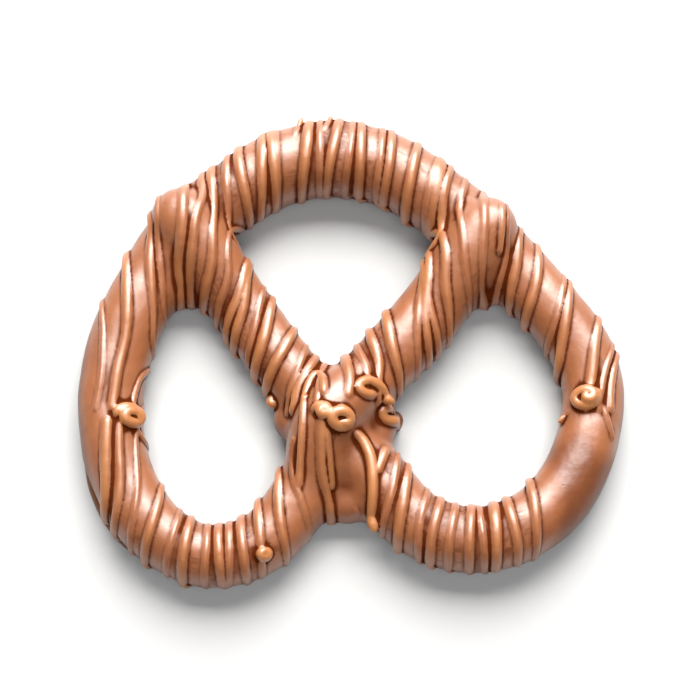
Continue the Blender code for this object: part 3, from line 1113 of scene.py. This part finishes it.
def grain_group():
    """Fine grain, pin holes and ripple of set chocolate, as a height and a roughness."""
    inputs = {"Float": ["Size", "Pin holes", "Ripple", "Roughness"]}
    group, given = shader_group("chocolate grain", inputs, {"Float": ["Height", "Roughness"]})
    place = place_node(group, "ShaderNodeTexCoord").outputs["Object"]
    scale = math_node(group, "DIVIDE", 1.0, given["Size"])
    noise = noise_node(group, {"Vector": place, "Scale": scale, "Detail": 4.0, "Roughness": 0.6})
    hole_scale = math_node(group, "MULTIPLY", scale, PIN_HOLE_SCALE)
    cells = place_node(group, "ShaderNodeTexVoronoi", {"Vector": place, "Scale": hole_scale})
    pits = range_node(group, cells.outputs["Distance"], PIN_HOLE_EDGES)
    ripple_scale = math_node(group, "MULTIPLY", scale, RIPPLE_SCALE)
    ripple = noise_node(group, {"Vector": place, "Scale": ripple_scale, "Detail": 1.0})
    sunk = math_node(group, "SUBTRACT", pits, 1.0)
    grainy = math_node(group, "MULTIPLY_ADD", sunk, given["Pin holes"], noise)
    height = math_node(group, "MULTIPLY_ADD", ripple, given["Ripple"], grainy)
    centred = math_node(group, "SUBTRACT", noise, 0.5)
    rough = math_node(group, "MULTIPLY_ADD", centred, GRAIN_DULLING, given["Roughness"])
    return finish_group(group, {"Height": height, "Roughness": rough})


def group_node(tree, name, feeds):
    """A node group with its own values."""
    return place_node(tree, "ShaderNodeGroup", feeds, node_tree=bpy.data.node_groups[name]).outputs


def chocolate_material(look):
    """Set milk chocolate: cloudy coat, strings with a warmer tone and a painted highlight, painted
    shade in creases and near the foot, and a satin gloss.
    """
    material = bpy.data.materials.new(CHOCOLATE)
    material.use_nodes = True
    tree = material.node_tree
    ridge, hollow, beside = (
        place_node(tree, "ShaderNodeAttribute", attribute_name=name).outputs["Fac"]
        for name in ("ridge", "hollow", "beside")
    )
    place = place_node(tree, "ShaderNodeTexCoord").outputs["Object"]
    level = place_node(tree, "ShaderNodeSeparateXYZ", {0: place}).outputs["Z"]
    # Painted shade down in the creases, where the surface is hollow
    crease_shade = range_node(tree, hollow, CREASE_SHADE_EDGES)
    under = range_node(tree, level, UNDER_EDGES)
    # Painted shade near the foot, darkest where the chocolate meets the floor
    low = range_node(tree, level, FOOT_SHADE_EDGES, FOOT_SHADE_AMOUNTS)
    far = range_node(tree, beside, FAR_EDGES, FAR_AMOUNTS)

    second = tuple(c * f for c, f in zip(look.coat_colour, CLOUD_SHADE))
    clouds = {"Colour": look.coat_colour, "Second colour": second, **CLOUDS}
    colour = group_node(tree, "clouding", clouds)["Colour"]
    # The strings' raised tops turn lighter and warmer: partly the strings' own tone, partly a
    # painted highlight
    string_top_tone_and_highlight = range_node(tree, ridge, STRING_TONE_AND_HIGHLIGHT_EDGES)
    colour = mix_node(tree, string_top_tone_and_highlight, colour, tuple(look.string_tone_and_highlight_colour))
    # The shade colour is mixed in as painted shade in the creases and near the foot, and darkens
    # bare coat far from the strings; the underside takes none of the last two
    above = rest_of(tree, under)
    foot_shade_above, far_above = (math_node(tree, "MULTIPLY", dark, above) for dark in (low, far))
    for dark in (crease_shade, foot_shade_above, far_above):
        colour = mix_node(tree, dark, colour, tuple(look.shade_colour))

    grain = group_node(tree, "chocolate grain", {**GRAIN, "Roughness": look.roughness})
    relief = place_node(
        tree,
        "ShaderNodeBump",
        {"Height": grain["Height"], "Strength": look.grain, "Distance": GRAIN_DEPTH},
    )
    rough = grain["Roughness"]
    for dull in (crease_shade, under):
        rough = math_node(tree, "MULTIPLY_ADD", dull, DULLING, rough)
    gloss = range_node(tree, beside, GLOSS_EDGES, GLOSS_AMOUNTS)
    # Creases and the foot also lose their gloss, as painted shade of reflections
    for dull in (crease_shade, low, under):
        gloss = math_node(tree, "MULTIPLY", gloss, rest_of(tree, dull))
    varying = {
        "Base Color": colour,
        "Roughness": rough,
        "Normal": relief.outputs[0],
        "Coat Weight": gloss,
        "Specular IOR Level": math_node(tree, "MULTIPLY", rest_of(tree, crease_shade), OPEN_SPECULAR),
    }
    feed_node(tree, tree.nodes["Principled BSDF"], {**varying, **CHOCOLATE_VALUES})
    return material


class PRETZEL_OT_chocolate(bpy.types.Operator):
    """Mixes the set milk chocolate"""

    bl_idname = "pretzel.chocolate"
    bl_label = "Mix chocolate"

    def execute(self, context):
        cloud_group()
        grain_group()
        chocolate_material(context.scene.pretzel_chocolate)
        return {"FINISHED"}


class PRETZEL_OT_pretzel(bpy.types.Operator):
    """Makes the coated pretzel with its drizzled strings"""

    bl_idname = "pretzel.pretzel"
    bl_label = "Make pretzel"

    def execute(self, context):
        material = bpy.data.materials[CHOCOLATE]
        scene = context.scene
        piece = make_pretzel(scene.pretzel_coat, scene.pretzel_drizzle, material)
        if not piece.data.polygons:
            raise RuntimeError("the pretzel came out empty")
        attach(piece, BODY)
        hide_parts(NODE)
        return {"FINISHED"}


def aim(item, target):
    """Turns a lamp or a camera to a place."""
    item.rotation_euler = (Vector(target) - item.location).to_track_quat("-Z", "Y").to_euler()


def soft_light(name, place, size, power, colour):
    """A square soft light that points at the pretzel."""
    lamp = bpy.data.lights.new(name, "AREA")
    lamp.size = size
    lamp.energy = power
    lamp.color = colour
    item = linked(name, lamp)
    item.location = place
    aim(item, (0, 0, 0))
    return item


def pale_floor(colour):
    """A wide matt floor."""
    mesh = bpy.data.meshes.new("floor")
    corners = [(-1, -1, 0), (1, -1, 0), (1, 1, 0), (-1, 1, 0)]
    mesh.from_pydata([Vector(c) * FLOOR_REACH for c in corners], [], [(0, 1, 2, 3)])
    paint = bpy.data.materials.new("pale_floor")
    paint.use_nodes = True
    tree = paint.node_tree
    values = {"Base Color": colour, "Roughness": FLOOR_ROUGHNESS}
    feed_node(tree, tree.nodes["Principled BSDF"], values)
    mesh.materials.append(paint)
    return linked("floor", mesh)


def white_surroundings(scene, strength):
    """White light from all round, which no gloss mirrors."""
    world = bpy.data.worlds.new("white_surroundings")
    scene.world = world
    world.use_nodes = True
    tree = world.node_tree
    feed_node(tree, tree.nodes["Background"], {"Color": WHITE, "Strength": strength})
    world.cycles_visibility.glossy = False


def set_camera(scene, stage):
    """The camera, aimed at the pretzel from the front."""
    camera = linked("camera", bpy.data.cameras.new("camera"))
    camera.data.lens = stage.lens
    camera.data.clip_start = NEAREST_SEEN
    back = Vector((0, -math.cos(stage.elevation), math.sin(stage.elevation)))
    camera.location = Vector(TARGET) + back * stage.distance
    aim(camera, TARGET)
    scene.camera = camera


class PRETZEL_OT_stage(bpy.types.Operator):
    """Sets up the pale floor, the soft light and the camera"""

    bl_idname = "pretzel.stage"
    bl_label = "Set the stage"

    def execute(self, context):
        scene = context.scene
        stage = scene.pretzel_stage
        pale_floor(stage.floor_colour)
        soft_light("key", KEY_PLACE, KEY_SIZE, stage.key_power, KEY_COLOUR)
        fill = soft_light("fill", FILL_PLACE, FILL_SIZE, stage.fill_power, FILL_COLOUR)
        fill.visible_glossy = False
        white_surroundings(scene, stage.world_strength)
        scene.view_settings.view_transform = "Standard"
        set_camera(scene, stage)
        return {"FINISHED"}


class PRETZEL_PT_panel(bpy.types.Panel):
    """Everything that makes the pretzel, in the order it is made"""

    bl_label = "Chocolate covered pretzel"
    bl_idname = "PRETZEL_PT_panel"
    bl_space_type = "VIEW_3D"
    bl_region_type = "UI"
    bl_category = "Pretzel"

    def draw(self, context):
        scene = context.scene
        for groups, operator in (
            ((scene.pretzel_chocolate,), PRETZEL_OT_chocolate),
            ((scene.pretzel_coat, scene.pretzel_drizzle), PRETZEL_OT_pretzel),
            ((scene.pretzel_stage,), PRETZEL_OT_stage),
        ):
            box = self.layout.box()
            for settings in groups:
                for name in settings.__annotations__:
                    box.prop(settings, name)
            box.operator(operator.bl_idname)


CLASSES = (
    CoatSettings,
    DrizzleSettings,
    ChocolateSettings,
    StageSettings,
    PRETZEL_OT_chocolate,
    PRETZEL_OT_pretzel,
    PRETZEL_OT_stage,
    PRETZEL_PT_panel,
)

SETTINGS = {
    "pretzel_coat": CoatSettings,
    "pretzel_drizzle": DrizzleSettings,
    "pretzel_chocolate": ChocolateSettings,
    "pretzel_stage": StageSettings,
}


def register():
    for made in CLASSES:
        bpy.utils.register_class(made)
    for name, group in SETTINGS.items():
        setattr(bpy.types.Scene, name, PointerProperty(type=group))


def unregister():
    for name in SETTINGS:
        delattr(bpy.types.Scene, name)
    for made in reversed(CLASSES):
        bpy.utils.unregister_class(made)


def main():
    register()
    bpy.ops.pretzel.chocolate()
    bpy.ops.pretzel.pretzel()
    bpy.ops.pretzel.stage()


if __name__ == "__main__":
    main()
